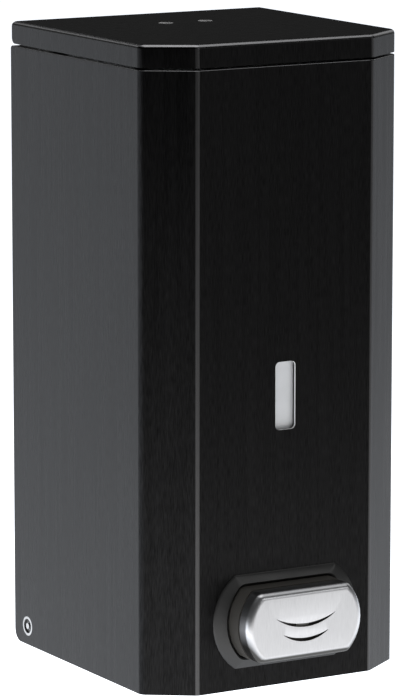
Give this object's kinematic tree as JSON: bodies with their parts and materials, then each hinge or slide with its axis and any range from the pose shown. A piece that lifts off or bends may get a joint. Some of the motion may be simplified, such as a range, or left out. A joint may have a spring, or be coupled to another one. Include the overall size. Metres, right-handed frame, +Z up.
{
  "type": "wall mounted soap dispenser",
  "caption": "Tall chamfered steel wall dispenser for liquid soap, with a hinged locking lid, a level window and a push button that works a piston pump above a downward spout.",
  "frame": {"origin": "on the wall face of the wall plate, at the middle of the four wall screw holes, halfway up the closed dispenser", "axes": "+X to the right as a user faces the front, +Y into the wall, +Z up; the front faces -Y"},
  "size_m": [0.12, 0.1387, 0.264],
  "materials": {
    "black_steel": "black tinted stainless sheet, fine upright brushed grain, satin",
    "bare_steel": "plain folded stainless sheet, dull brushed",
    "cap_steel": "satin brushed stainless, upright grain",
    "bright_steel": "bright turned or drawn steel",
    "gloss_black": "black moulded plastic, gloss",
    "matte_black": "black moulded plastic, matte",
    "grey_plastic": "grey moulded acetal, satin",
    "white_plastic": "white moulded acetal, satin",
    "level_window": "milky clear moulded strip, gloss",
    "tank_plastic": "natural translucent polyethylene",
    "rubber": "black rubber, matte",
    "silicone": "pale silicone, satin"
  },
  "bodies": {
    "housing": {"wall_plate": "bare_steel", "cover": "black_steel", "side_screws": "bright_steel", "side_nuts": "bare_steel", "window_pane": "level_window", "window_retainer": "matte_black", "bezel": "gloss_black", "bezel_retainer": "matte_black", "return_spring": "bright_steel", "pump_body": "white_plastic", "pump_gland": "grey_plastic", "pump_screws": "bright_steel", "inlet_seat": "grey_plastic", "inlet_spring": "bright_steel", "outlet_valve": "silicone", "nozzle": "grey_plastic", "tank": "tank_plastic", "tank_top": "tank_plastic", "tank_seal": "rubber", "tank_bracket": "bare_steel", "hinge_pin": "bright_steel", "hinge_clips": "bright_steel"},
    "lid": {"lid": "black_steel", "lid_hinge_leaf": "bare_steel", "latch_guide": "bare_steel", "latch_spring": "bright_steel", "lid_bumpers": "rubber"},
    "latch": {"latch_slide": "bare_steel"},
    "button": {"button_cap": "cap_steel", "button_core": "grey_plastic", "piston_rod": "white_plastic", "piston_seal": "rubber"},
    "inlet_ball": {"inlet_ball": "bright_steel"}
  },
  "joints": [
    {"name": "lid_hinge", "type": "hinge", "parent": "housing", "child": "lid", "pos_m": [0, -0.0055, 0.1273], "axis": [-1, 0, 0], "range_deg": [0, 88]},
    {"name": "latch_draw", "type": "slide", "parent": "lid", "child": "latch", "axis": [0, 1, 0], "range_m": [0, 0.0055], "stiffness_N_per_m": 400, "springref_m": -0.008, "deforming": ["latch_spring"]},
    {"name": "button_push", "type": "slide", "parent": "housing", "child": "button", "axis": [0, 1, 0], "range_m": [0, 0.012], "stiffness_N_per_m": 350, "springref_m": -0.012, "deforming": ["return_spring"]},
    {"name": "inlet_ball_drop", "type": "slide", "parent": "housing", "child": "inlet_ball", "axis": [0, 0, -1], "range_m": [0, 0.0015], "stiffness_N_per_m": 40, "springref_m": -0.002, "deforming": ["inlet_spring"]}
  ]
}
